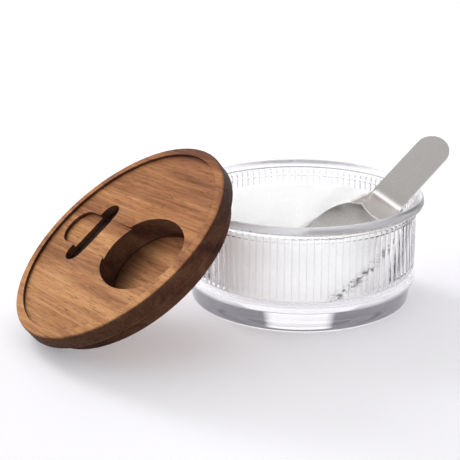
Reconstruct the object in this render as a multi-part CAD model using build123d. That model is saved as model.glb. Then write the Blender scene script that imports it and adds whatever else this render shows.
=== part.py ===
from build123d import *
import os
from math import asin, atan2, cos, hypot, radians, sin, tan

# Spice jar, millimetres: a low ribbed glass jar filled with salt, its turned wooden lid leaning on the
# rim, and a pressed steel scoop standing in the salt. Origin at the centre of the jar's flat base,
# +X to the jar's right, +Y away from the person in front of it, +Z up.

# Glass jar, outside
jar_height = 46.6
rim_r = 52.5
rim_thickness = 4.4
rim_round = 2.1
rim_band = 3.2
rim_drop = 5.0
wall_r = 48.9
ledge_r = 49.9
ledge_low = 9.6
ledge_high = 12.4
ledge_round = 0.6
foot_r = 47.2
foot_flare = 1.2
foot_edge = 2.6

# Ribs pressed on the outside of the wall
rib_count = 104
rib_height = 0.55
rib_low = 15.2
rib_high = 40.6
rib_end_round = 0.45
rib_valley = 0.05

# Glass jar, inside
mouth_r = 47.0
inside_draft = 1.0
floor_thickness = 10.5
floor_corner = 5.0
shoulder_round = 1.0

# Salt
salt_level = 36.0
salt_clearance = 0.1
pit_clearance = 0.8
glass_gap_length = 30.0

# Wooden lid: a disc with a raised rim round its face, and a plug that drops into the mouth
lid_r = 51.2
lid_disc = 7.1
lid_thickness = 14.0
plug_r = 46.1
disc_round = 0.9
plug_round = 0.8
face_rim = 3.9
face_depth = 1.3

# Recess in the lid's face that stores the scoop: places are measured along it from the lid's centre
recess_turn = 7.5
recess_offset = -1.2
grip_slot_at = -33.7
grip_slot_r = 8.5
grip_slot_depth = 1.6
finger_groove_at = -22.1
finger_groove_length = 31.0
finger_groove_width = 10.0
finger_groove_depth = 3.2
neck_slot_depth = 1.2
neck_overlap = 4.0
pocket_at = 20.3
pocket_length = 46.5
pocket_width = 35.4
pocket_end_r = 16.0
pocket_depth = 10.8

# How the lid leans: the plug's edge stands on the table, its underside lies against the jar's rim
lid_bearing = 206.3
lid_reach = 113.7
lid_sideways = 1.6
lid_gap = 0.3

# Steel scoop, from the bend between handle and pan
sheet = 1.2
bend_r = 1.6
handle_width = 15.0
handle_length = 38.1
heel_run = 4.8
heel_drop = 9.0
pan_rise = 20.5
pan_start = -1.6
pan_length = 45.6
pan_width = 34.6
pan_end_r = 15.6
lip_height = 2.0
lip_thickness = 1.0
neck_round = 3.0

# How the scoop stands: bearing, slope and roll of its handle, and the centre of the handle's round end
scoop_bearing = 36.5
scoop_slope = 33.8
scoop_roll = 28.4
scoop_end_right = 56.8
scoop_end_back = 9.2
scoop_end_over_rim = 15.2


def turned(corners):
    """Solid of revolution about Z from (radius, height, rounding) corners."""
    points = [(r, z) for r, z, _ in corners]
    rounds = [rounding for _, _, rounding in corners]
    outline = FilletPolyline(*points, radius=rounds, close=True)
    return revolve(Plane.XZ * make_face(outline), Axis.Z)


def oval(length, width, end_r):
    """Face of an oval: two round ends of end_r joined by flatter side arcs, all tangent."""
    end_x = length / 2 - end_r
    side_r = (end_x**2 + (width / 2) ** 2 - end_r**2) / (width - 2 * end_r)
    x = end_x + end_r * end_x / (side_r - end_r)
    y = end_r * (side_r - width / 2) / (side_r - end_r)
    arcs = []
    for side in (1, -1):
        arcs.append(ThreePointArc((side * x, -y), (side * length / 2, 0), (side * x, y)))
        arcs.append(ThreePointArc((-x, side * y), (0, side * width / 2), (x, side * y)))
    return make_face(Wire(arcs))


def inside_r(height):
    """Radius of the jar's inner wall at a height above the floor's corner."""
    span = jar_height - rim_drop - floor_thickness
    return mouth_r - inside_draft * (jar_height - rim_drop - height) / span


def glass_jar():
    """Turned outline with the hollow in it, plus the ring of ribs."""
    wall_top = jar_height - rim_drop
    band_low = jar_height - rim_band
    rim_inner_r = rim_r - rim_thickness
    body = turned([
        (0, 0, 0),
        (foot_r, 0, foot_edge),
        (foot_r + foot_flare, ledge_low, 0),
        (ledge_r, ledge_low, ledge_round),
        (ledge_r, ledge_high, ledge_round),
        (wall_r, ledge_high, 0),
        (wall_r, wall_top, shoulder_round),
        (rim_r, band_low, shoulder_round),
        (rim_r, jar_height, rim_round),
        (rim_inner_r, jar_height, rim_round),
        (rim_inner_r, band_low, shoulder_round),
        (mouth_r, wall_top, shoulder_round),
        (inside_r(floor_thickness), floor_thickness, floor_corner),
        (0, floor_thickness, 0),
    ])
    crest_r = wall_r + rib_height
    valley_r = wall_r + rib_valley
    pitch = 360 / rib_count
    arcs = []
    for i in range(rib_count):
        valley = Vector(valley_r, 0).rotate(Axis.Z, (i - 0.5) * pitch)
        crest = Vector(crest_r, 0).rotate(Axis.Z, i * pitch)
        arcs.append(ThreePointArc(valley, crest, valley.rotate(Axis.Z, pitch)))
    ribbed = Pos(0, 0, rib_low) * extrude(make_face(Wire(arcs)), rib_high - rib_low)
    root_r = (wall_r + mouth_r) / 2
    ring = turned([
        (root_r, rib_low, 0),
        (crest_r, rib_low, rib_end_round),
        (crest_r, rib_high, rib_end_round),
        (root_r, rib_high, 0),
    ])
    return body + (ring & ribbed)


def lid_place():
    """Plane of the lid's face: Z out of the face, Y up the slope towards the jar."""
    rim_centre_r = rim_r - rim_round
    rim_centre_z = jar_height - rim_round
    run = lid_reach - rim_centre_r
    fall = rim_centre_z - plug_round
    lean = atan2(fall, run) + asin((rim_round + plug_round + lid_gap) / hypot(run, fall))
    away = Vector(1, 0, 0).rotate(Axis.Z, lid_bearing)
    across = away.rotate(Axis.Z, 90)
    normal = away * sin(lean) + Vector(0, 0, cos(lean))
    uphill = Vector(0, 0, sin(lean)) - away * cos(lean)
    standing_round = away * lid_reach + across * lid_sideways + Vector(0, 0, plug_round)
    centre = standing_round + uphill * (plug_r - plug_round) + normal * (lid_thickness - plug_round)
    return Plane(origin=centre, x_dir=uphill.cross(normal), z_dir=normal)


def wooden_lid():
    """Disc and plug turned in one, face sunk inside its rim, storage recess cut into the face."""
    face_z = -face_depth
    board = turned([
        (0, -lid_thickness, 0),
        (plug_r, -lid_thickness, plug_round),
        (plug_r, -lid_disc, 0),
        (lid_r, -lid_disc, disc_round),
        (lid_r, 0, disc_round),
        (lid_r - face_rim, 0, 0),
        (lid_r - face_rim, face_z, 0),
        (0, face_z, 0),
    ])
    slot_width = 2 * grip_slot_r
    slot_run = finger_groove_at - grip_slot_at
    grip = Circle(grip_slot_r) + Pos(slot_run / 2, 0) * Rectangle(slot_run, slot_width)
    grip_slot = Pos(grip_slot_at, 0, face_z) * extrude(grip, -grip_slot_depth)
    groove = Rot(0, 0, 90) * SlotOverall(finger_groove_length, finger_groove_width)
    finger_groove = Pos(finger_groove_at, 0, face_z) * extrude(groove, -finger_groove_depth)
    pan_shape = oval(pocket_length, pocket_width, pocket_end_r)
    pocket = Pos(pocket_at, 0, face_z) * extrude(pan_shape, -pocket_depth)
    neck_end = pocket_at - pocket_length / 2 + neck_overlap
    neck_side = Polyline(
        (finger_groove_at, face_z), (neck_end, face_z), (neck_end, face_z - neck_slot_depth), close=True
    )
    neck_slot = extrude(Plane.XZ * make_face(neck_side), grip_slot_r, both=True)
    recess = grip_slot + finger_groove + neck_slot + pocket
    return lid_place() * (board - Rot(0, 0, recess_turn) * Pos(0, recess_offset, 0) * recess)


def scoop_place():
    """Plane of the handle's upper face at the bend: X towards the pan's tip, Z out of the hollow side."""
    level = Vector(1, 0, 0).rotate(Axis.Z, scoop_bearing)
    along = level * cos(radians(scoop_slope)) + Vector(0, 0, sin(radians(scoop_slope)))
    right = level.rotate(Axis.Z, -90)
    upright = right.cross(along)
    normal = right * sin(radians(scoop_roll)) + upright * cos(radians(scoop_roll))
    round_end = Vector(scoop_end_right, scoop_end_back, jar_height + scoop_end_over_rim)
    bend = round_end - along * (handle_length - handle_width / 2)
    return Plane(origin=bend, x_dir=-along, z_dir=normal)


def pan_outline(margin):
    """Plan of the pan, grown by a margin."""
    middle = pan_start + pan_length / 2
    return Pos(middle, 0) * oval(pan_length + 2 * margin, pan_width + 2 * margin, pan_end_r + margin)


def side_profile(*corners):
    """Solid across the whole scoop from the (x, z, rounding) corners of its side view."""
    points = [(x, z) for x, z, _ in corners]
    rounds = [rounding for _, _, rounding in corners]
    outline = FilletPolyline(*points, radius=rounds, close=True)
    return extrude(Plane.XZ * make_face(outline), pan_width, both=True)


def pan_height(x):
    """Height of the pan's floor over the handle's plane."""
    return (x - heel_run) * tan(radians(pan_rise)) - heel_drop


def steel_scoop():
    """One pressed sheet: flat handle, heel that steps down, rising pan with a low lip round it."""
    far = pan_start + pan_length + sheet
    back = -handle_length - sheet
    rise = radians(pan_rise)
    heel_angle = atan2(heel_drop, heel_run)
    bend_shift = sheet * tan(heel_angle / 2)
    heel_shift = sheet * tan((heel_angle + rise) / 2)
    under_heel_x = heel_run + sheet * sin(rise) - heel_shift * cos(rise)
    under_heel_z = -heel_drop - sheet * cos(rise) - heel_shift * sin(rise)
    bent = side_profile(
        (back, 0, 0),
        (0, 0, bend_r + sheet),
        (heel_run, -heel_drop, bend_r),
        (far, pan_height(far), 0),
        (far, pan_height(far) - sheet / cos(rise), 0),
        (under_heel_x, under_heel_z, bend_r + sheet),
        (-bend_shift, -sheet, bend_r),
        (back, -sheet, 0),
    )
    strip_run = handle_length - handle_width / 2
    strip = SlotOverall(2 * handle_length, handle_width)
    strip -= Pos(handle_length, 0) * Rectangle(2 * handle_length - handle_width, handle_width)
    plan = strip + pan_outline(0)
    corners = plan.vertices().filter_by(lambda v: v.X > -strip_run / 2)
    inner_corners = corners.sort_by(Axis.X)[:2]
    plan = fillet(inner_corners, neck_round)
    lip_plan = pan_outline(0) - pan_outline(-lip_thickness)
    lip_side = side_profile(
        (0, 0, 0),
        (heel_run, lip_height - heel_drop, 0),
        (far, pan_height(far) + lip_height, 0),
        (far, pan_height(far) - sheet / 2, 0),
        (heel_run, -heel_drop - sheet / 2, 0),
        (0, -sheet / 2, 0),
    )
    blank = extrude(plan, handle_length, both=True)
    lip_wall = extrude(lip_plan, handle_length, both=True)
    return scoop_place() * ((bent & blank) + (lip_side & lip_wall))


def salt():
    """Fill up to the salt level, less the room that the scoop lies in and is lifted straight up through."""
    floor_z = floor_thickness + salt_clearance
    fill = turned([
        (0, floor_z, 0),
        (inside_r(floor_z) - salt_clearance, floor_z, floor_corner),
        (inside_r(salt_level) - salt_clearance, salt_level, 0),
        (0, salt_level, 0),
    ])
    heel = Pos(heel_run, 0, -heel_drop) * Rot(0, -pan_rise, 0)
    under_pan = scoop_place() * heel * Pos(0, 0, -sheet - pit_clearance)
    back = (pan_start - heel_run) / cos(radians(pan_rise))
    front = (pan_start + pan_length - heel_run) / cos(radians(pan_rise))
    hole_length = front - back + 2 * pit_clearance
    hole_width = pan_width + 2 * pit_clearance
    middle = (front + back) / 2
    pan_hole = Pos(middle, 0) * oval(hole_length, hole_width, pan_end_r + pit_clearance)
    heel_hole = pan_hole & (Pos(back, 0) * Rectangle(-2 * back, hole_width))
    glass_gap = Pos(middle, pan_width / 2) * Rectangle(glass_gap_length, pan_width)
    deep = sheet + lip_height + 2 * pit_clearance
    pit = []
    for hole, height in ((pan_hole, deep), (heel_hole, heel_drop + deep), (glass_gap, deep)):
        pit.append(under_pan * extrude(hole, height))
        for level in (0, height):
            face = under_pan * (Pos(0, 0, level) * hole)
            pit.append(extrude(face, 2 * jar_height, dir=(0, 0, 1)))
    return fill - pit


os.makedirs("parts", exist_ok=True)
pieces = {
    "glass_jar": glass_jar(),
    "salt": salt(),
    "wooden_lid": wooden_lid(),
    "steel_scoop": steel_scoop(),
}
for name, piece in pieces.items():
    export_step(piece, f"parts/{name}.step")
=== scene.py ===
from math import asin, atan2, cos, hypot, pi, radians, sin

import bmesh
import bpy
import numpy as np
from mathutils import Matrix, Vector


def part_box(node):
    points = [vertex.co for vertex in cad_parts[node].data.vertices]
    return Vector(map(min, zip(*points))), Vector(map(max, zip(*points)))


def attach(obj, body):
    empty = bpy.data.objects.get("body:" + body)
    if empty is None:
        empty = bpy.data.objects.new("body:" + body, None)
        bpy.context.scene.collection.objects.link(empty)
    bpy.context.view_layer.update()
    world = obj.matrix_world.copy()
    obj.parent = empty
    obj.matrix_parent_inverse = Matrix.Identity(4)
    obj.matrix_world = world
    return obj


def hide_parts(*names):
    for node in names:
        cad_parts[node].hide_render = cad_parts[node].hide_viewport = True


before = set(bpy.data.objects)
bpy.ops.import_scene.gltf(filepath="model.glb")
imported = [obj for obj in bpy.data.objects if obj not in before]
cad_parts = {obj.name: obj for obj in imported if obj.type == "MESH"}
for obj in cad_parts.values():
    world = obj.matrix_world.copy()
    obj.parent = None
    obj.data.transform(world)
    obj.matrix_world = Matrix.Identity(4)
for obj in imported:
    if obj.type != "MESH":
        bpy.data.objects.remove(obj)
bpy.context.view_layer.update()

# A low ribbed glass jar of salt with its wooden lid leaning on the rim and a steel scoop in the salt.
# Sizes are in millimetres, as in the part's source, and MM turns them into Blender's metres.
MM = 0.001

# Glass jar
JAR_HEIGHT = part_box("glass_jar")[1][2] / MM
RIM_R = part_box("glass_jar")[1][0] / MM
RIM_THICKNESS = 4.4
RIM_ROUND = 2.1
RIM_BAND = 3.2
RIM_DROP = 5.0
WALL_R = 48.9
LEDGE_R = 49.9
LEDGE_LOW = 9.6
LEDGE_HIGH = 12.4
LEDGE_ROUND = 0.6
LEDGE_ROOT = 0.2
FOOT_R = 47.2
FOOT_FLARE = 1.2
FOOT_EDGE = 2.6
RIB_COUNT = 104
RIB_HEIGHT = 0.55
RIB_VALLEY = 0.05
RIB_LOW = 15.2
RIB_HIGH = 39.5
RIB_END = 0.6
RIB_STUB_LOW = 39.9
RIB_STUB_HIGH = 42.4
RIB_STUB_ROW = 0.55
MOUTH_R = 47.0
INSIDE_DRAFT = 1.0
FLOOR_THICKNESS = 10.5
FLOOR_CORNER = 5.0
SHOULDER_ROOT = 0.8
SHOULDER_ROUND = 1.0
INSIDE_ROUND = 3.0
STEPS_PER_RIB = 10

# Salt: its rise over the solid's level, where it climbs the front glass, its grid, and the hollow round the
# scoop's pan, with its slope in the open and the slope that is added by the glass
SALT_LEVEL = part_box("salt")[1][2] / MM
SALT_HEAP = 0.5
SALT_SWELL = 0.2
SALT_ROUGH = 0.07
SALT_CLIMB = 4.0
SALT_CLIMB_R = 43
SALT_CLIMB_WIDTH = 3.5
SALT_FRONT = 5
SALT_FRONT_FADE = 25
SALT_CLEARANCE = 0.1
SALT_COLUMNS = 480
SALT_ROWS = 150
SALT_MIDDLE_R = 0.3
HOLLOW_MARGIN = 0.6
HOLLOW_DROP = 0.5
HOLLOW_SLOPE = 2.2
HOLLOW_SLOPE_BY_GLASS = 9

# Wooden lid
LID_THICKNESS = 14.0
GROOVE_FLOOR = 4.5
POCKET_FLOOR = 12.1
PLUG_R = 46.1
PLUG_ROUND = 0.8
LID_BEARING = 206.3
LID_REACH = 113.7
LID_SIDEWAYS = 1.6
LID_GAP = 0.3
LID_EDGE = 0.35
RECESS_TURN = 7.5

# Steel scoop, from the bend between its handle and its pan
SHEET = 1.2
SHEET_EDGE = 0.2
HANDLE_WIDTH = 15.0
HANDLE_LENGTH = 38.1
HEEL_RUN = 4.8
HEEL_DROP = 9.0
NECK_FALL = 1.12
PAN_RISE = 20.5
PAN_START = -1.6
PAN_LENGTH = 45.6
PAN_WIDTH = 34.6
PAN_END_R = 15.6
LIP_HEIGHT = 2.0
LIP_HEEL = 2.9
LIP_TIP = 1.0
LIP_END = 26.0
NECK_FLARE = 5.0
FLARE_START = -1.5
FLARE_END = 14.0
EDGE_START = 1.6
EDGE_FALL = 0.62
GUSSET_SLOPE = 3.8
BEND_ROUND = 2.2
VALLEY_ROUND = 0.6
FINE_ROWS_START = -2
FINE_ROWS_END = 10
TIP_ROWS = 10
SCOOP_COLUMNS = 49
SCOOP_BEARING = 36.5
SCOOP_SLOPE = 33.8
SCOOP_ROLL = 28.4
SCOOP_END = Vector((56.8, 9.2, JAR_HEIGHT + 15.2))

# Camera, from the photograph: focal length in pixels of a picture 460 wide
PICTURE = 460
FOCAL_PIXELS = 1300
CAMERA_DROP = 18.606
CAMERA_ROLL = -0.107
CAMERA_DISTANCE = 563.44
LOOK_AT = Vector((-30.45, 0, 28.86))

# Light: bearing of the bright side, strength towards it and away from it, the share left overhead, where
# the dark card in front hangs, the cosines at which its edge starts and ends and the share that it leaves
BRIGHT_SIDE = 146
TOWARDS = 1.75
AWAY = 0.85
OVERHEAD = 0.37
DARK_CARD = Vector((0.2, -0.85, 0.5)).normalized()
DARK_CARD_EDGE = (0.64, 0.87)
DARK_CARD_LEAVES = 0.3

# Floor: what the eye sees added to it in front, behind, and under the jar, in a painted pool of light that
# stands in for the light that the foot gathers
FLOOR_LIFT_FRONT = 0.225
FLOOR_LIFT_BACK = 0.26
PAINTED_LIGHT_POOL = 0.25
PAINTED_LIGHT_POOL_R = 46
PAINTED_LIGHT_POOL_FADE = 2

# Glass: tint of what is seen through each of its surfaces, in the wall, in the creases between ribs
# (painted shade), in the thick rim and edge-on in the foot (painted dark shade), with where each sets in,
# and how much lamplight passes one
GLASS_TINT = (0.985, 0.982, 0.99)
# Painted shade: what is seen through the creases between ribs is greyer
CREASE_PAINTED_SHADE = (0.72, 0.68, 0.71)
CREASE_START = 0.40
CREASE_FADE = 0.5
RIM_TINT = (0.965, 0.955, 0.98)
RIM_ROUGHNESS = 0.3
RIM_FADE = 0.6
# Painted shade: the foot's glass is tinted dark where it is seen edge-on
FOOT_PAINTED_SHADE = (0.06, 0.057, 0.066)
FOOT_PAINTED_SHADE_LOW = 0.3
FOOT_PAINTED_SHADE_FULL = 1.5
FOOT_SHADE_FACING = (0.185, 0.215)
GLASS_SHADE = (0.97, 0.97, 0.975)

# Salt: how far light spreads among its grains, and a line of painted shade, as in the gaps of a crack: its
# ends as bearing and height, how far off its line it is full and stops, the angle in radians over which its
# ends fade, and its clumps by the glass
SALT_GLOW = 3
SHADE_LINE_LOW = (-75, 15.0)
SHADE_LINE_HIGH = (-36, 36.5)
SHADE_LINE_FULL = 0.5
SHADE_LINE_WIDTH = 4.0
SHADE_LINE_FADE = 0.1
SHADE_LINE_CLUMP = 1.3
SHADE_LINE_R = 44
SHADE_LINE_R_FADE = 1.5

# Wood: where across the grain it starts to darken towards the lid's raised side and is full, what is left
# of its colour on the turned walls (end grain and painted shade), on the finger groove's floor (painted
# shade) and at the heel end of the pocket's floor (painted shadow), and where that end fades out
DARKENING_START = -30
DARKENING_END = 45
WALL_STAIN_AND_SHADE = (0.17, 0.155, 0.21)
GROOVE_PAINTED_SHADE = (0.06, 0.06, 0.08)
POCKET_PAINTED_SHADOW = (0.22, 0.20, 0.24)
POCKET_SHADOW_START = -2
POCKET_SHADOW_END = 22


def new_object(name, data):
    """Object that holds the data, in the scene."""
    added = bpy.data.objects.new(name, data)
    bpy.context.scene.collection.objects.link(added)
    return added


def turned_about_z(vector, degrees_turned):
    """The vector turned about +Z by an angle in degrees."""
    return Matrix.Rotation(radians(degrees_turned), 3, "Z") @ vector


def lid_place():
    """Matrix from the lid's face frame (x and y in the face, z out of it) to the jar's, in millimetres."""
    rim_centre_r = RIM_R - RIM_ROUND
    run = LID_REACH - rim_centre_r
    fall = JAR_HEIGHT - RIM_ROUND - PLUG_ROUND
    lean = atan2(fall, run) + asin((RIM_ROUND + PLUG_ROUND + LID_GAP) / hypot(run, fall))
    away = turned_about_z(Vector((1, 0, 0)), LID_BEARING)
    across = turned_about_z(away, 90)
    up = Vector((0, 0, 1))
    normal = away * sin(lean) + up * cos(lean)
    uphill = up * sin(lean) - away * cos(lean)
    standing_edge = away * LID_REACH + across * LID_SIDEWAYS + up * PLUG_ROUND
    centre = standing_edge + uphill * (PLUG_R - PLUG_ROUND) + normal * (LID_THICKNESS - PLUG_ROUND)
    return axes_matrix(uphill.cross(normal), uphill, normal, centre)


def scoop_place():
    """Matrix from the scoop's frame (x from bend to pan tip, z out of the hollow) to the jar's."""
    level = turned_about_z(Vector((1, 0, 0)), SCOOP_BEARING)
    along = level * cos(radians(SCOOP_SLOPE)) + Vector((0, 0, sin(radians(SCOOP_SLOPE))))
    right = turned_about_z(level, -90)
    normal = right * sin(radians(SCOOP_ROLL)) + right.cross(along) * cos(radians(SCOOP_ROLL))
    bend = SCOOP_END - along * (HANDLE_LENGTH - HANDLE_WIDTH / 2)
    return axes_matrix(-along, normal.cross(-along), normal, bend)


def axes_matrix(x, y, z, origin):
    """4 by 4 matrix with these axes and origin as its columns."""
    place = Matrix((x, y, z)).transposed().to_4x4()
    place.translation = origin
    return place


def rounded_profile(corners, steps=6):
    """Open outline through (radius, height, rounding) corners, as an array of points.

    Each rounded corner is the circle tangent to both its sides, drawn in equal steps of its angle.
    """
    points = np.array([corner[:2] for corner in corners], float)
    outline = [points[0]]
    for here, (before, after) in enumerate(zip(points[:-2], points[2:]), 1):
        rounding = corners[here][2]
        if not rounding:
            outline.append(points[here])
            continue
        back = (before - points[here]) / np.hypot(*(before - points[here]))
        on = (after - points[here]) / np.hypot(*(after - points[here]))
        half = np.arccos(np.clip(back @ on, -1, 1)) / 2
        middle = (back + on) / np.hypot(*(back + on))
        centre = points[here] + middle * rounding / np.sin(half)
        start = points[here] + back * rounding / np.tan(half) - centre
        end = points[here] + on * rounding / np.tan(half) - centre
        turn = np.arctan2(start[0] * end[1] - start[1] * end[0], start @ end)
        angle = np.arctan2(start[1], start[0]) + np.linspace(0, turn, steps + 1)
        outline.extend(centre + rounding * np.stack([np.cos(angle), np.sin(angle)], 1))
    outline.append(points[-1])
    return np.array(outline)


def turned_surface(name, radius, height, angle):
    """Closed mesh of a surface of revolution given on a grid of rows (along the outline) and angles.

    Point (i, j) is at radius[i, j] and height[i, j], turned by angle[j] about +Z. The first and the last
    row each shrink to a point on the axis. Rows run from the bottom point up the outside, so that faces
    point outwards.
    """
    rows, columns = radius.shape
    grid = np.stack([radius * np.cos(angle), radius * np.sin(angle), height], -1).reshape(-1, 3)
    poles = [[0, 0, height[0].mean()], [0, 0, height[-1].mean()]]
    column = np.arange(columns)
    following = (column + 1) % columns
    row = np.arange(rows - 1)[:, None] * columns
    quads = np.stack([row + column, row + following, row + columns + following, row + columns + column], -1)
    first = np.stack([following, column, np.full(columns, rows * columns)], -1)
    last = np.stack([column, following, np.full(columns, rows * columns + 1)], -1)
    last[:, :2] += (rows - 1) * columns
    faces = quads.reshape(-1, 4).tolist() + first.tolist() + last.tolist()
    mesh = bpy.data.meshes.new(name)
    mesh.from_pydata((np.concatenate([grid, poles]) * MM).tolist(), [], faces)
    mesh.shade_smooth()
    return new_object(name, mesh)


def inside_r(height):
    """Radius of the jar's inner wall at a height above the floor's corner."""
    span = JAR_HEIGHT - RIM_DROP - FLOOR_THICKNESS
    return MOUTH_R - INSIDE_DRAFT * (JAR_HEIGHT - RIM_DROP - height) / span


def ribbed_band():
    """Heights up the ribbed wall: close together where ribs round off and where their stubs start."""
    rounding = RIB_END * (1 - np.cos(np.linspace(0, pi / 2, 7)))
    plain = np.linspace(RIB_LOW + 2 * RIB_END, RIB_HIGH - 2 * RIB_END, 8)
    stubs = RIB_STUB_LOW + rounding[:5]
    return np.concatenate([RIB_LOW + rounding, plain, (RIB_HIGH - rounding)[::-1], stubs])


def rib_ends(height, low, high):
    """Share of a rib's full rise at a height: a quarter round at each of its ends."""
    fade = np.clip(np.minimum(height - low, high - height) / RIB_END, 0, 1)
    return np.sqrt(1 - (1 - fade) ** 2)


def rib_rise(angle, height):
    """How far the ribs stand off the wall: an arc across each rib times the rounding at its ends.

    Over a thin plain ring above each rib, a stub of the same width runs on under the rim.
    """
    across = (angle * RIB_COUNT / (2 * pi)) % 1 - 0.5
    arc = RIB_VALLEY + (RIB_HEIGHT - RIB_VALLEY) * (1 - (2 * across) ** 2)
    return arc * (rib_ends(height, RIB_LOW, RIB_HIGH) + rib_ends(height, RIB_STUB_LOW, RIB_STUB_HIGH))


def make_jar():
    """Jar from the middle of its base, up the outside, over the rim, down the inside to its floor."""
    wall_top = JAR_HEIGHT - RIM_DROP
    band_low = JAR_HEIGHT - RIM_BAND
    band_middle = (band_low + JAR_HEIGHT - RIM_ROUND) / 2
    rim_inner_r = RIM_R - RIM_THICKNESS
    below_ribs = rounded_profile([
        (FOOT_R / 2, 0, 0),
        (FOOT_R, 0, FOOT_EDGE),
        (FOOT_R + FOOT_FLARE, LEDGE_LOW, LEDGE_ROOT),
        (LEDGE_R, LEDGE_LOW, LEDGE_ROUND),
        (LEDGE_R, LEDGE_HIGH, LEDGE_ROUND),
        (WALL_R, LEDGE_HIGH, LEDGE_ROOT),
        (WALL_R, RIB_LOW - 0.1, 0),
    ])
    band = ribbed_band()
    ribs = np.stack([np.full(len(band), WALL_R), band], 1)
    stub_steps = [
        (WALL_R + share * (RIM_R - WALL_R), wall_top + share * (band_low - wall_top), 0)
        for share in np.linspace(0.3, 0.8, 7)
    ]
    under_rim = rounded_profile([
        (WALL_R, RIB_STUB_LOW + RIB_STUB_ROW, 0),
        (WALL_R, wall_top, SHOULDER_ROOT),
        *stub_steps,
        (RIM_R, band_low, SHOULDER_ROUND),
        (RIM_R, band_middle, 0),
    ], steps=8)
    over_rim = rounded_profile([
        (RIM_R, band_middle, 0),
        (RIM_R, JAR_HEIGHT, RIM_ROUND),
        (rim_inner_r, JAR_HEIGHT, RIM_ROUND),
        (rim_inner_r, band_low, INSIDE_ROUND),
        (MOUTH_R, wall_top, INSIDE_ROUND),
        (inside_r(FLOOR_THICKNESS), FLOOR_THICKNESS, FLOOR_CORNER),
        (MOUTH_R / 2, FLOOR_THICKNESS, 0),
    ], steps=8)[1:]
    outline = np.concatenate([below_ribs, ribs, under_rim, over_rim])
    angle = np.arange(RIB_COUNT * STEPS_PER_RIB) * 2 * pi / (RIB_COUNT * STEPS_PER_RIB)
    height = np.repeat(outline[:, 1:], len(angle), 1)
    radius = np.repeat(outline[:, :1], len(angle), 1)
    outside = slice(0, len(outline) - len(over_rim))
    radius[outside] += rib_rise(angle, height[outside])
    return turned_surface("jar_glass", radius, height, angle)


def pan_arcs():
    """The pan's oval: centre of its end arc, radius of its side arc, and where they join."""
    end_x = PAN_LENGTH / 2 - PAN_END_R
    side_r = (end_x**2 + (PAN_WIDTH / 2) ** 2 - PAN_END_R**2) / (PAN_WIDTH - 2 * PAN_END_R)
    return end_x, side_r, end_x + PAN_END_R * end_x / (side_r - PAN_END_R)


def pan_distance(x, y):
    """Distance outside the pan's outline, negative inside: an end arc or a side arc of the oval."""
    end_x, side_r, join_x = pan_arcs()
    x = np.abs(x - PAN_START - PAN_LENGTH / 2)
    y = np.abs(y)
    by_end = np.hypot(x - end_x, y) - PAN_END_R
    by_side = np.hypot(x, y + side_r - PAN_WIDTH / 2) - side_r
    join_y = PAN_END_R * (side_r - PAN_WIDTH / 2) / (side_r - PAN_END_R)
    past_join = y * (join_x - end_x) < (x - end_x) * join_y
    return np.where(past_join, by_end, by_side)


def under_scoop(x, y):
    """Height of the pan's underside over each point, and the distance from the pan's outline there."""
    place = np.array(scoop_place())
    into = np.linalg.inv(place)
    rise = radians(PAN_RISE)
    normal = place[:3, :3] @ [-sin(rise), 0, cos(rise)]
    heel = place[:3, :3] @ [HEEL_RUN, 0, -HEEL_DROP] + place[:3, 3]
    floor = heel[2] - ((x - heel[0]) * normal[0] + (y - heel[1]) * normal[1]) / normal[2]
    under = floor - SHEET / normal[2]
    outside = np.full(x.shape, np.inf)
    for lift in (-SHEET, LIP_HEIGHT + SHEET):
        point = np.stack([x, y, floor + lift, np.ones(x.shape)])
        local = np.tensordot(into, point, 1)
        outside = np.minimum(outside, pan_distance(local[0], local[1]))
    return under, outside


def waves(x, y, shortest, longest, count, seed):
    """Sum of plane waves of random heading, phase and length, about 1 high in all."""
    rng = np.random.default_rng(seed)
    total = np.zeros(x.shape)
    for _ in range(count):
        heading = rng.uniform(0, 2 * pi)
        length = shortest * (longest / shortest) ** rng.uniform()
        total += np.sin((x * cos(heading) + y * sin(heading)) * 2 * pi / length + rng.uniform(0, 2 * pi))
    return total / np.sqrt(count)


def salt_height(x, y):
    """Height of the salt's surface: gently uneven, and cut away under and round the scoop's pan.

    Along the front it is banked up the glass.
    """
    swell = SALT_SWELL * waves(x, y, 9, 30, 9, 4)
    roughness = SALT_ROUGH * waves(x, y, 1.1, 3, 40, 8)
    level = SALT_LEVEL + SALT_HEAP + swell + roughness
    by_glass = np.clip((np.hypot(x, y) - SALT_CLIMB_R) / SALT_CLIMB_WIDTH, 0, 1)
    level += SALT_CLIMB * by_glass**2 * np.clip((-y - SALT_FRONT) / SALT_FRONT_FADE, 0, 1)
    under, outside = under_scoop(x, y)
    slope = HOLLOW_SLOPE + HOLLOW_SLOPE_BY_GLASS * by_glass
    return np.minimum(level, under - HOLLOW_DROP + slope * np.maximum(outside - HOLLOW_MARGIN, 0))


def make_salt():
    """Salt from the middle of its underside, up the glass, and across the top to the middle."""
    floor = FLOOR_THICKNESS + SALT_CLEARANCE
    side = rounded_profile([
        (MOUTH_R / 2, floor, 0),
        (inside_r(floor) - SALT_CLEARANCE, floor, FLOOR_CORNER),
        (inside_r(SALT_LEVEL) - SALT_CLEARANCE, SALT_LEVEL, 0),
    ])
    angle = np.arange(SALT_COLUMNS) * 2 * pi / SALT_COLUMNS
    top_r = np.linspace(side[-1, 0], SALT_MIDDLE_R, SALT_ROWS)
    low_radius = np.repeat(side[:-1, :1], len(angle), 1)
    low_height = np.repeat(side[:-1, 1:], len(angle), 1)
    top_radius = np.repeat(top_r[:, None], len(angle), 1)
    top_height = salt_height(top_radius * np.cos(angle), top_radius * np.sin(angle))
    radius = np.concatenate([low_radius, top_radius])
    height = np.concatenate([np.minimum(low_height, top_height[0]), top_height])
    return turned_surface("salt_fill", radius, height, angle)


def smooth_max(first, second, rounding):
    """The greater of two heights, with the crease between them rounded off."""
    return (first + second + np.sqrt((first - second) ** 2 + rounding**2)) / 2


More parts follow.
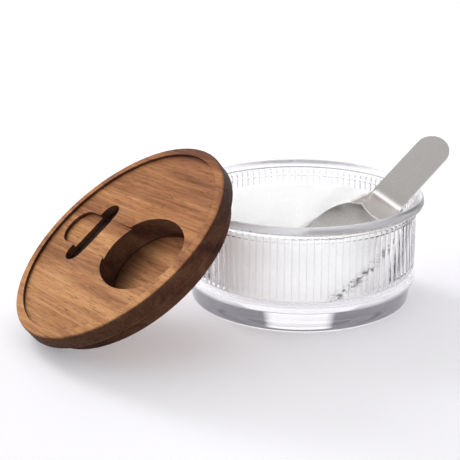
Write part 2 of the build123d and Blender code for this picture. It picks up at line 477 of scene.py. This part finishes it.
def scoop_half_width(x):
    """Half the sheet's width: a round handle end, the handle, a flare at the neck, and the pan's oval."""
    handle = HANDLE_WIDTH / 2
    end_x = handle - HANDLE_LENGTH
    at_end = np.sqrt(np.maximum(handle**2 - np.minimum(x - end_x, 0) ** 2, 0))
    oval_x, side_r, join_x = pan_arcs()
    along = np.abs((x - HEEL_RUN) / cos(radians(PAN_RISE)) - PAN_START - PAN_LENGTH / 2)
    past_end = np.maximum(along - PAN_LENGTH / 2, 0)
    by_end = np.sqrt(np.maximum(PAN_END_R**2 - (along - oval_x) ** 2, 0)) - past_end
    by_side = np.sqrt(np.maximum(side_r**2 - along**2, 0)) - side_r + PAN_WIDTH / 2
    oval = np.where(along > join_x, by_end, by_side)
    before = np.clip((x - FLARE_START) / (HEEL_RUN / 2 - FLARE_START), 0, 1)
    after = np.clip((FLARE_END - x) / (FLARE_END - HEEL_RUN), 0, 1)
    return np.where(x > FLARE_END, oval, smooth_max(at_end, oval, NECK_FLARE * before * after))


def scoop_tip():
    """How far the pan's tip is from the bend, along the handle's line."""
    return HEEL_RUN + (PAN_START + PAN_LENGTH) * cos(radians(PAN_RISE))


def pan_floor(x):
    """Height of the middle of the pan's floor over the handle's plane."""
    return (x - HEEL_RUN) * np.tan(radians(PAN_RISE)) - HEEL_DROP


def scoop_rise(x, y, half_width):
    """Height of the sheet's upper face over its handle's plane.

    The pan's floor climbs towards its tip and is dished up to its edge by a cube law, at its sides and
    round its tip. At the heel it meets the steep neck and, at each side, a steep gusset under the edge that
    falls from the handle to the pan. The handle's plane cuts off the neck and the gussets.
    """
    across = np.abs(y)
    lip = LIP_TIP + (LIP_HEEL - LIP_TIP) * np.clip((LIP_END - x) / (LIP_END - FLARE_END), 0, 1)
    to_tip = np.clip((x - LIP_END) / (scoop_tip() - LIP_END), 0, 1)
    dish = (1 - (1 - (across / half_width) ** 2) * (1 - to_tip**2)) ** 1.5
    floor = pan_floor(x) + lip * dish
    neck = -x * NECK_FALL
    gusset = -EDGE_FALL * (x - EDGE_START) - GUSSET_SLOPE * (half_width - across)
    side = -smooth_max(0, -smooth_max(neck, gusset, VALLEY_ROUND), BEND_ROUND)
    return smooth_max(side, floor, VALLEY_ROUND)


def make_scoop():
    """Scoop's sheet on a grid of rows across it, from the handle's end to the pan's tip."""
    handle = HANDLE_WIDTH / 2
    end_x = handle - HANDLE_LENGTH
    tip = scoop_tip()
    rows = [
        end_x - handle * np.cos(np.linspace(0.12, pi / 2, 14)),
        np.linspace(end_x, FINE_ROWS_START, 14)[1:],
        np.linspace(FINE_ROWS_START, FINE_ROWS_END, 60)[1:],
        np.linspace(FINE_ROWS_END, tip - TIP_ROWS, 26)[1:],
        tip - TIP_ROWS + TIP_ROWS * np.sin(np.linspace(0, pi / 2 - 0.08, 20))[1:],
    ]
    x = np.concatenate(rows)[:, None]
    half_width = scoop_half_width(x)
    across = np.sin(np.linspace(-pi / 2, pi / 2, SCOOP_COLUMNS))
    y = half_width * across
    x = np.repeat(x, len(across), 1)
    points = np.stack([x, y, scoop_rise(x, y, half_width), np.ones(x.shape)], -1).reshape(-1, 4)
    poles = [[-HANDLE_LENGTH, 0, 0, 1], [tip, 0, pan_floor(tip) + LIP_TIP, 1]]
    points = (np.concatenate([points, poles]) @ np.array(scoop_place()).T)[:, :3] * MM
    columns = len(across)
    first = np.arange(len(x) - 1)[:, None] * columns + np.arange(columns - 1)
    quads = np.stack([first, first + columns, first + columns + 1, first + 1], -1).reshape(-1, 4)
    last_row = (len(x) - 1) * columns
    ends = [[column, column + 1, len(points) - 2] for column in range(columns - 1)]
    ends += [[last_row + column + 1, last_row + column, len(points) - 1] for column in range(columns - 1)]
    mesh = bpy.data.meshes.new("scoop_sheet")
    mesh.from_pydata(points.tolist(), [], quads.tolist() + ends)
    mesh.shade_smooth()
    piece = new_object("scoop_sheet", mesh)
    solidify = piece.modifiers.new("sheet", "SOLIDIFY")
    solidify.thickness = SHEET * MM
    solidify.offset = -1
    round_edges(piece, SHEET_EDGE, 60)
    return piece


def round_edges(piece, width, sharp):
    """Live bevel in three steps on edges sharper than an angle in degrees."""
    bevel = piece.modifiers.new("edge_rounds", "BEVEL")
    bevel.width = width * MM
    bevel.segments = 3
    bevel.limit_method = "ANGLE"
    bevel.angle_limit = radians(sharp)
    bevel.harden_normals = True


def softened(node, name, edge, sharp):
    """Copy of a CAD node, its triangles joined into whole faces, with small rounds on its sharp edges."""
    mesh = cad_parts[node].data.copy()
    shape = bmesh.new()
    shape.from_mesh(mesh)
    bmesh.ops.remove_doubles(shape, verts=shape.verts, dist=0.001 * MM)
    flat = radians(0.2)
    bmesh.ops.dissolve_limit(shape, angle_limit=flat, verts=shape.verts, edges=shape.edges)
    shape.to_mesh(mesh)
    shape.free()
    mesh.materials.clear()
    mesh.shade_smooth()
    piece = new_object(name, mesh)
    round_edges(piece, edge, sharp)
    return piece


def node_material(name):
    """New material, its node tree and its shader."""
    material = bpy.data.materials.new(name)
    material.use_nodes = True
    return material, material.node_tree, material.node_tree.nodes["Principled BSDF"]


def place_coordinates(tree, place, turn=0):
    """Object coordinates in a piece's own frame, turned further about that frame's z axis by degrees."""
    coordinates = tree.nodes.new("ShaderNodeTexCoord")
    mapping = tree.nodes.new("ShaderNodeMapping")
    mapping.vector_type = "TEXTURE"
    turned = place @ Matrix.Rotation(radians(turn), 4, "Z")
    mapping.inputs["Location"].default_value = place.translation * MM
    mapping.inputs["Rotation"].default_value = turned.to_euler()
    tree.links.new(coordinates.outputs["Object"], mapping.inputs["Vector"])
    return mapping.outputs["Vector"]


def split(tree, vector):
    """Outputs X, Y and Z of a node that takes a vector apart."""
    node = tree.nodes.new("ShaderNodeSeparateXYZ")
    tree.links.new(vector, node.inputs[0])
    return node.outputs


def vector_math(tree, operation, vector, constant=(0, 0, 0)):
    """Outputs Vector and Value of a Vector Math node on a vector and a constant one."""
    node = tree.nodes.new("ShaderNodeVectorMath")
    node.operation = operation
    node.inputs[1].default_value = constant
    tree.links.new(vector, node.inputs[0])
    return node.outputs


def noise(tree, vector, lengths, detail=2.0, roughness=0.5, distortion=0.0):
    """Noise whose patches are about as long along x, y and z as the lengths, in millimetres."""
    scaled = vector_math(tree, "MULTIPLY", vector, [1 / (length * MM) for length in lengths])
    texture = tree.nodes.new("ShaderNodeTexNoise")
    texture.inputs["Scale"].default_value = 1
    texture.inputs["Detail"].default_value = detail
    texture.inputs["Roughness"].default_value = roughness
    texture.inputs["Distortion"].default_value = distortion
    tree.links.new(scaled["Vector"], texture.inputs["Vector"])
    return texture.outputs["Fac"]


def remap(tree, value, low, high, out_low=0.0, out_high=1.0, smooth=False):
    """The value carried from low..high to out_low..out_high and held there."""
    node = tree.nodes.new("ShaderNodeMapRange")
    node.interpolation_type = "SMOOTHSTEP" if smooth else "LINEAR"
    for name, number in (("From Min", low), ("From Max", high), ("To Min", out_low), ("To Max", out_high)):
        node.inputs[name].default_value = number
    tree.links.new(value, node.inputs["Value"])
    return node.outputs["Result"]


def calculate(tree, operation, first, second=0):
    """A Math node; either input may be a number."""
    node = tree.nodes.new("ShaderNodeMath")
    node.operation = operation
    for socket, value in zip(node.inputs, (first, second)):
        if isinstance(value, (int, float)):
            socket.default_value = value
        else:
            tree.links.new(value, socket)
    return node.outputs[0]


def product(tree, first, *others):
    """The values multiplied together."""
    for value in others:
        first = calculate(tree, "MULTIPLY", first, value)
    return first


def inverse(tree, mask):
    """0 where the mask is 1, and 1 where it is 0."""
    return calculate(tree, "SUBTRACT", 1.0, mask)


def blend_colours(tree, factor, first, second, mode="MIX"):
    """A colour Mix node; first and second are sockets or linear colours."""
    node = tree.nodes.new("ShaderNodeMix")
    node.data_type = "RGBA"
    node.blend_type = mode
    sockets = {"Factor": node.inputs[0], "A": node.inputs[6], "B": node.inputs[7]}
    for name, value in (("Factor", factor), ("A", first), ("B", second)):
        if isinstance(value, bpy.types.NodeSocket):
            tree.links.new(value, sockets[name])
        elif name == "Factor":
            sockets[name].default_value = value
        else:
            sockets[name].default_value = (*value, 1)
    return node.outputs[2]


def colour_steps(tree, value, steps):
    """Colour ramp through (place, linear colour) steps."""
    node = tree.nodes.new("ShaderNodeValToRGB")
    ramp = node.color_ramp
    while len(ramp.elements) < len(steps):
        ramp.elements.new(0.5)
    for element, (place, colour) in zip(ramp.elements, steps):
        element.position = place
        element.color = (*colour, 1)
    tree.links.new(value, node.inputs["Fac"])
    return node.outputs["Color"]


def bump(tree, shader, height, distance, strength=1.0):
    """Bump from a height of 0 to 1 that stands for a distance in millimetres."""
    node = tree.nodes.new("ShaderNodeBump")
    node.inputs["Distance"].default_value = distance * MM
    node.inputs["Strength"].default_value = strength
    tree.links.new(height, node.inputs["Height"])
    tree.links.new(node.outputs["Normal"], shader.inputs["Normal"])


def from_axis(tree, place):
    """Distance from the jar's axis of a place in the jar's frame."""
    level = vector_math(tree, "MULTIPLY", place, (1, 1, 0))
    return vector_math(tree, "LENGTH", level["Vector"])["Value"]


def bearing_and_height(tree, place):
    """Angle about the jar's axis, in radians, and height of a place in the jar's frame."""
    parts = split(tree, place)
    return calculate(tree, "ARCTAN2", parts["Y"], parts["X"]), parts["Z"]


def rib_creases(tree, bearing, height):
    """1 in the middle of the creases between ribs, from the ribs' lower ends up, and 0 on the ribs."""
    rib = calculate(tree, "FRACT", calculate(tree, "MULTIPLY", bearing, RIB_COUNT / (2 * pi)))
    off_middle = calculate(tree, "ABSOLUTE", calculate(tree, "SUBTRACT", rib, 0.5))
    crease = remap(tree, off_middle, CREASE_START, 0.5)
    return product(tree, crease, remap(tree, height, RIB_LOW * MM, (RIB_LOW + CREASE_FADE) * MM))


def painted_foot_shade(tree, height):
    """1 on the outside of the foot, between its base and the ledge ring, where it is seen edge-on and dark
    shade is painted.
    """
    under_ledge = remap(tree, height, LEDGE_LOW * MM, LEDGE_HIGH * MM, 1, 0)
    above_base = remap(tree, height, FOOT_PAINTED_SHADE_LOW * MM, FOOT_PAINTED_SHADE_FULL * MM)
    outside = inverse(tree, tree.nodes.new("ShaderNodeNewGeometry").outputs["Backfacing"])
    facing = tree.nodes.new("ShaderNodeLayerWeight").outputs["Facing"]
    return product(tree, under_ledge, above_base, outside, remap(tree, facing, *FOOT_SHADE_FACING, smooth=True))


def glass_material():
    """Clear pressed glass, which lets lamps and bounced light straight through to the salt inside.

    The creases between ribs carry painted shade, the rim is a little frosted, and the foot has painted dark
    shade edge-on.
    """
    material, tree, shader = node_material("clear_glass")
    bearing, height = bearing_and_height(tree, place_coordinates(tree, Matrix()))
    rim = remap(tree, height, RIB_STUB_HIGH * MM, (RIB_STUB_HIGH + RIM_FADE) * MM)
    # Painted shade in the creases between ribs
    colour = blend_colours(tree, rib_creases(tree, bearing, height), GLASS_TINT, CREASE_PAINTED_SHADE)
    colour = blend_colours(tree, rim, colour, RIM_TINT)
    # Painted shade: dark where the foot is seen edge-on
    colour = blend_colours(tree, painted_foot_shade(tree, height), colour, FOOT_PAINTED_SHADE)
    tree.links.new(colour, shader.inputs["Base Color"])
    tree.links.new(remap(tree, rim, 0, 1, 0, RIM_ROUGHNESS), shader.inputs["Roughness"])
    shader.inputs["IOR"].default_value = 1.5
    shader.inputs["Transmission Weight"].default_value = 1
    path = tree.nodes.new("ShaderNodeLightPath")
    clear = tree.nodes.new("ShaderNodeBsdfTransparent")
    clear.inputs["Color"].default_value = (*GLASS_SHADE, 1)
    mix = tree.nodes.new("ShaderNodeMixShader")
    straight = calculate(tree, "MAXIMUM", path.outputs["Is Shadow Ray"], path.outputs["Is Diffuse Ray"])
    tree.links.new(straight, mix.inputs["Fac"])
    tree.links.new(shader.outputs[0], mix.inputs[1])
    tree.links.new(clear.outputs[0], mix.inputs[2])
    tree.links.new(mix.outputs[0], tree.nodes["Material Output"].inputs["Surface"])
    return material


def painted_crack_shade(tree, place):
    """1 where shade is painted, as in the gaps of a crack beside the scoop, slanting down the glass at the
    right.

    The painted shade follows a straight line in bearing and height that fades to both sides and past its
    ends.
    Noise breaks it up into clumps, and it is kept near the glass.
    """
    bearing, height = bearing_and_height(tree, place)
    low, high = radians(SHADE_LINE_LOW[0]), radians(SHADE_LINE_HIGH[0])
    line = remap(tree, bearing, low, high, SHADE_LINE_LOW[1] * MM, SHADE_LINE_HIGH[1] * MM)
    off_line = calculate(tree, "ABSOLUTE", calculate(tree, "SUBTRACT", height, line))
    near = remap(tree, off_line, SHADE_LINE_FULL * MM, SHADE_LINE_WIDTH * MM, 1, 0, smooth=True)
    past_low = remap(tree, bearing, low - SHADE_LINE_FADE, low)
    before_high = remap(tree, bearing, high, high + SHADE_LINE_FADE, 1, 0)
    by_glass = remap(tree, from_axis(tree, place), SHADE_LINE_R * MM, (SHADE_LINE_R + SHADE_LINE_R_FADE) * MM)
    clumps = remap(tree, noise(tree, place, [SHADE_LINE_CLUMP] * 3, detail=3, roughness=0.7), 0.46, 0.58)
    return product(tree, near, past_low, before_high, clumps, by_glass)


def salt_material():
    """Fine white salt: grains half a millimetre across, a few of them greyer than the rest, and a line of
    painted shade by the glass.
    """
    material, tree, shader = node_material("white_salt")
    place = place_coordinates(tree, Matrix())
    grains = noise(tree, place, (0.6, 0.6, 0.6), detail=3, roughness=0.7)
    colour = colour_steps(tree, grains, ((0.3, (0.90, 0.89, 0.88)), (0.6, (0.985, 0.98, 0.965))))
    # Painted shade: a dark line of clumps down the glass at the right
    colour = blend_colours(tree, painted_crack_shade(tree, place), colour, (0.12, 0.12, 0.12))
    tree.links.new(colour, shader.inputs["Base Color"])
    shader.inputs["Roughness"].default_value = 0.6
    shader.inputs["Subsurface Weight"].default_value = 1
    shader.inputs["Subsurface Radius"].default_value = (1, 1, 1)
    shader.inputs["Subsurface Scale"].default_value = SALT_GLOW * MM
    bump(tree, shader, grains, 0.25, 0.5)
    return material


def turned_walls(tree):
    """1 on the lid's edge and on the walls of its recesses, 0 on its faces, from the way they face."""
    normal = tree.nodes.new("ShaderNodeTexCoord").outputs["Normal"]
    along_axis = vector_math(tree, "DOT_PRODUCT", normal, lid_place().col[2][:3])
    upright = calculate(tree, "ABSOLUTE", along_axis["Value"])
    return remap(tree, upright, 0.35, 0.95, 1, 0, smooth=True)


def wood_material():
    """Oiled dark wood: growth bands, streaks, fibres and short dark pores along the grain.

    The board turns darker towards the lid's raised side. The turned edge and the walls of its recesses,
    which are end grain over much of their length, are darker than the face, partly as end grain that has
    drunk more oil and partly by painted shade. The finger groove's floor carries painted shade, and the
    heel end of the pocket's floor a painted shadow.
    """
    material, tree, shader = node_material("oiled_wood")
    grain = place_coordinates(tree, lid_place(), RECESS_TURN)
    parts = split(tree, grain)
    bands = calculate(tree, "MULTIPLY", noise(tree, grain, (150, 9, 9), detail=2, distortion=0.6), 0.5)
    streaks = noise(tree, grain, (40, 1.1, 1.1), detail=5, roughness=0.62)
    fibres = noise(tree, grain, (11, 0.4, 0.4), detail=2)
    # The face turns darker towards the lid's raised side
    towards_raised_side = remap(tree, parts["Y"], DARKENING_START * MM, DARKENING_END * MM, 0.28, 0.18, smooth=True)
    tone = calculate(tree, "ADD", bands, calculate(tree, "MULTIPLY", streaks, 0.25))
    colour = colour_steps(tree, calculate(tree, "ADD", tone, towards_raised_side), (
        (0.46, (0.150, 0.055, 0.028)),
        (0.54, (0.270, 0.108, 0.048)),
        (0.62, (0.410, 0.180, 0.072)),
        (0.70, (0.560, 0.275, 0.115)),
    ))
    fine = remap(tree, fibres, 0.35, 0.65, 0.80, 1.08)
    colour = blend_colours(tree, 1.0, colour, fine, "MULTIPLY")
    pores = remap(tree, noise(tree, grain, (5, 0.35, 0.35), detail=1), 0.62, 0.70)
    colour = blend_colours(tree, calculate(tree, "MULTIPLY", pores, 0.6), colour, (0.05, 0.02, 0.012))
    # Partly end grain, partly painted shade: the turned edge and the recess walls are darker
    walls = turned_walls(tree)
    colour = blend_colours(tree, walls, colour, WALL_STAIN_AND_SHADE, "MULTIPLY")
    # Painted shade on the finger groove's floor
    below_slot = remap(tree, parts["Z"], -GROOVE_FLOOR * MM, -(GROOVE_FLOOR - 1) * MM, 1, 0)
    above_pocket = remap(tree, parts["Z"], -POCKET_FLOOR * MM, -(POCKET_FLOOR - 1) * MM)
    groove = product(tree, below_slot, above_pocket, inverse(tree, walls))
    colour = blend_colours(tree, groove, colour, GROOVE_PAINTED_SHADE, "MULTIPLY")
    # Painted shadow: the pocket's floor is darker at its heel end
    heel_end = remap(tree, parts["X"], POCKET_SHADOW_START * MM, POCKET_SHADOW_END * MM, 1, 0, smooth=True)
    painted_shadow = product(tree, heel_end, inverse(tree, above_pocket))
    colour = blend_colours(tree, painted_shadow, colour, POCKET_PAINTED_SHADOW, "MULTIPLY")
    tree.links.new(colour, shader.inputs["Base Color"])
    tree.links.new(remap(tree, streaks, 0.3, 0.7, 0.66, 0.5), shader.inputs["Roughness"])
    shader.inputs["Specular IOR Level"].default_value = 0.08
    bump(tree, shader, calculate(tree, "SUBTRACT", fibres, pores), 0.12, 0.5)
    return material


def steel_material():
    """Steel brushed along the handle."""
    material, tree, shader = node_material("brushed_steel")
    along = place_coordinates(tree, scoop_place())
    brushing = noise(tree, along, (30, 0.12, 0.12), detail=3, roughness=0.6)
    tree.links.new(remap(tree, brushing, 0.3, 0.7, 0.24, 0.30), shader.inputs["Roughness"])
    colour = colour_steps(tree, brushing, ((0.3, (0.77, 0.74, 0.72)), (0.7, (0.83, 0.80, 0.78))))
    tree.links.new(colour, shader.inputs["Base Color"])
    shader.inputs["Metallic"].default_value = 1
    bump(tree, shader, brushing, 0.01, 0.3)
    return material


def white_for_the_eye(tree):
    """1 for what the camera sees straight, in a reflection or through glass, and 0 for the light cast."""
    path = tree.nodes.new("ShaderNodeLightPath")
    seen = calculate(tree, "MAXIMUM", path.outputs["Is Camera Ray"], path.outputs["Is Glossy Ray"])
    return calculate(tree, "MAXIMUM", seen, path.outputs["Is Transmission Ray"])


def make_floor():
    """Wide pale floor, a little deeper in tone in front than behind, with a painted pool of light under the
    jar.
    """
    half = 3.0
    corners = [(-half, -half, 0), (half, -half, 0), (half, half, 0), (-half, half, 0)]
    mesh = bpy.data.meshes.new("floor")
    mesh.from_pydata(corners, [], [(0, 1, 2, 3)])
    floor = new_object("floor", mesh)
    material, tree, shader = node_material("pale_floor")
    place = tree.nodes.new("ShaderNodeTexCoord").outputs["Object"]
    behind = remap(tree, split(tree, place)["Y"], -0.25, 0.35, smooth=True)
    shader.inputs["Base Color"].default_value = (0.80, 0.79, 0.815, 1)
    shader.inputs["Roughness"].default_value = 0.9
    shader.inputs["Specular IOR Level"].default_value = 0
    shader.inputs["Emission Color"].default_value = (0.98, 0.96, 1, 1)
    lift = remap(tree, behind, 0, 1, FLOOR_LIFT_FRONT, FLOOR_LIFT_BACK)
    pool_edge = (PAINTED_LIGHT_POOL_R - PAINTED_LIGHT_POOL_FADE) * MM
    # Painted light: a pool under the jar, for the eye only
    pool_of_light = remap(tree, from_axis(tree, place), pool_edge, PAINTED_LIGHT_POOL_R * MM, PAINTED_LIGHT_POOL, 0)
    seen = product(tree, white_for_the_eye(tree), calculate(tree, "ADD", lift, pool_of_light))
    tree.links.new(seen, shader.inputs["Emission Strength"])
    mesh.materials.append(material)


def make_world():
    """Soft light from all round: bright on the window side, dim on the side away from it and overhead."""
    world = bpy.data.worlds.new("studio")
    bpy.context.scene.world = world
    world.use_nodes = True
    tree = world.node_tree
    direction = tree.nodes.new("ShaderNodeTexCoord").outputs["Generated"]
    towards = vector_math(tree, "DOT_PRODUCT", direction, turned_about_z(Vector((1, 0, 0)), BRIGHT_SIDE))
    card = vector_math(tree, "DOT_PRODUCT", direction, DARK_CARD)
    by_height = remap(tree, split(tree, direction)["Z"], 0.3, 0.95, 1, OVERHEAD, smooth=True)
    by_side = remap(tree, towards["Value"], -0.85, 0.25, AWAY, TOWARDS, smooth=True)
    past_card = remap(tree, card["Value"], *DARK_CARD_EDGE, 1, DARK_CARD_LEAVES, smooth=True)
    strength = product(tree, by_height, by_side, past_card)
    background = tree.nodes["Background"]
    background.inputs["Color"].default_value = (1, 1, 1, 1)
    tree.links.new(strength, background.inputs["Strength"])


def aim(lamp, place, target, power):
    """Puts a lamp at a place in millimetres, turned to face a target, with its power in watts.

    Steel and glass reflect the studio and not the lamp itself.
    """
    lamp.energy = power
    light = new_object(lamp.name, lamp)
    light.location = Vector(place) * MM
    light.rotation_euler = (Vector(target) - Vector(place)).to_track_quat("-Z", "Y").to_euler()
    light.visible_glossy = False
    light.visible_transmission = False


def area_light(name, place, target, size, power):
    """Square soft lamp with sides of a size in millimetres."""
    lamp = bpy.data.lights.new(name, "AREA")
    lamp.shape = "SQUARE"
    lamp.size = size * MM
    aim(lamp, place, target, power)


def spot_light(name, place, target, cone, power):
    """Soft-edged spot lamp with a cone of some degrees."""
    lamp = bpy.data.lights.new(name, "SPOT")
    lamp.spot_size = radians(cone)
    lamp.spot_blend = 1
    lamp.shadow_soft_size = 0.04
    aim(lamp, place, target, power)


def make_camera():
    """Camera at the photograph's angle: it looks down along +Y at the point in the picture's middle."""
    data = bpy.data.cameras.new("camera")
    data.sensor_width = 36
    data.lens = FOCAL_PIXELS / PICTURE * data.sensor_width
    data.clip_end = 20
    camera = new_object("camera", data)
    drop = radians(CAMERA_DROP)
    ahead = Vector((0, cos(drop), -sin(drop)))
    camera.location = (LOOK_AT - ahead * CAMERA_DISTANCE) * MM
    level = Matrix.Rotation(pi / 2 - drop, 4, "X")
    camera.rotation_euler = (level @ Matrix.Rotation(radians(CAMERA_ROLL), 4, "Z")).to_euler()
    bpy.context.scene.camera = camera


def fit(piece, material, body, node):
    """Gives a piece its material and body, and hides the CAD node that it stands for."""
    piece.data.materials.append(material)
    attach(piece, body)
    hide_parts(node)


make_camera()
make_world()
make_floor()
area_light("key", (-600, 650, 500), (-20, 0, 20), 350, 4.5)
spot_light("fill", (60, -760, 150), (-18, -40, 46), 13, 16)

fit(make_jar(), glass_material(), "jar", "glass_jar")
fit(make_salt(), salt_material(), "jar", "salt")
fit(softened("wooden_lid", "lid_wood", LID_EDGE, 40), wood_material(), "lid", "wooden_lid")
fit(make_scoop(), steel_material(), "scoop", "steel_scoop")

bpy.context.scene.view_settings.view_transform = "Standard"
